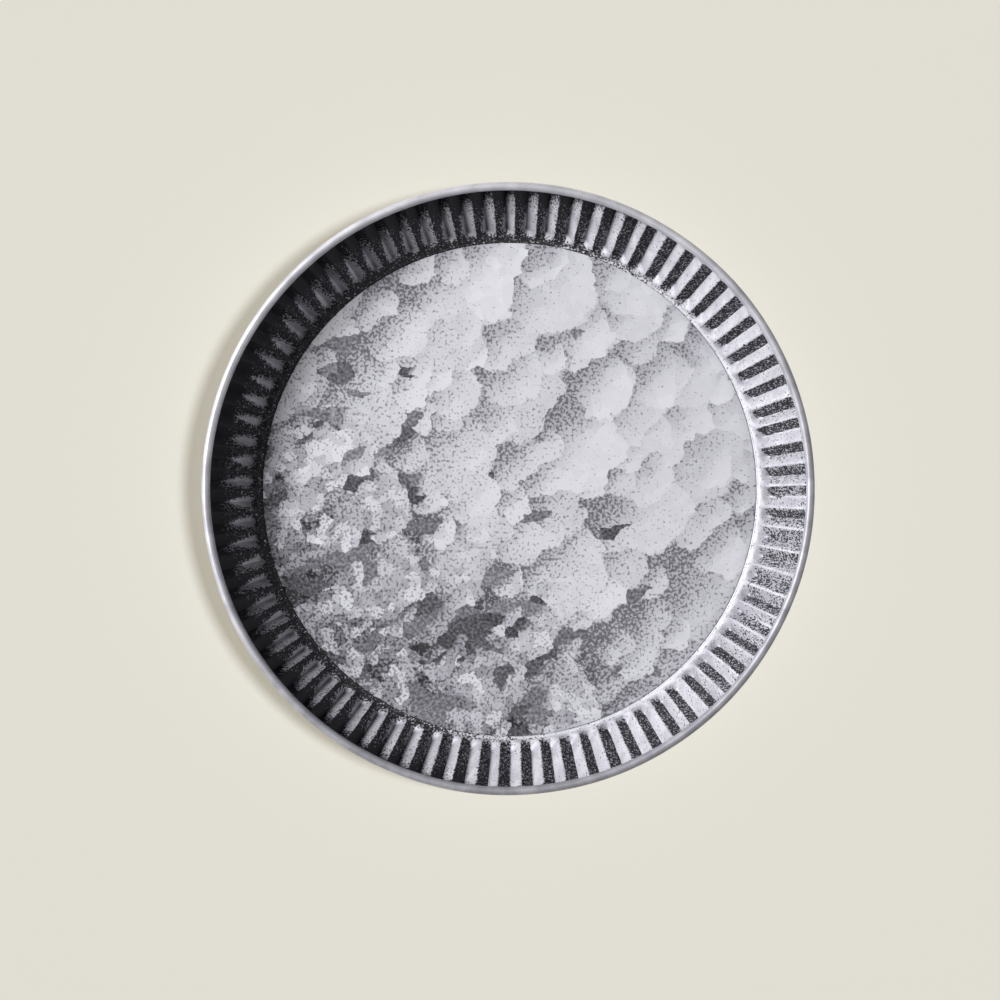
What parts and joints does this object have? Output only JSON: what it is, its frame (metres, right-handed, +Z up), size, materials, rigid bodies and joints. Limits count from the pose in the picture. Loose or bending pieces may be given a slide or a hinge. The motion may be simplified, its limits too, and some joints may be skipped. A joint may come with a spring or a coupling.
{
  "type": "round serving tray",
  "caption": "Round serving tray of galvanised sheet steel: a flat base let into a flared wall with upright flutes, capped by a rolled rim over a stiffening wire.",
  "frame": {"origin": "centre of the plane that the tray stands on", "axes": "+Z up, along the axis of the round tray; X and Y lie in the plane of the table"},
  "size_m": [0.2998, 0.2998, 0.03],
  "materials": {
    "spangled_zinc": "hot-dip galvanised, large spangle, satin",
    "patinated_zinc": "hot-dip galvanised, dark patina in the grooves, bright on the ribs",
    "rim_zinc": "hot-dip galvanised, rubbed bright",
    "drawn_steel": "plain drawn wire"
  },
  "bodies": {
    "root": {"base_disc": "spangled_zinc", "fluted_wall": "patinated_zinc", "rim_band": "rim_zinc", "rim_wire": "drawn_steel"}
  },
  "joints": []
}
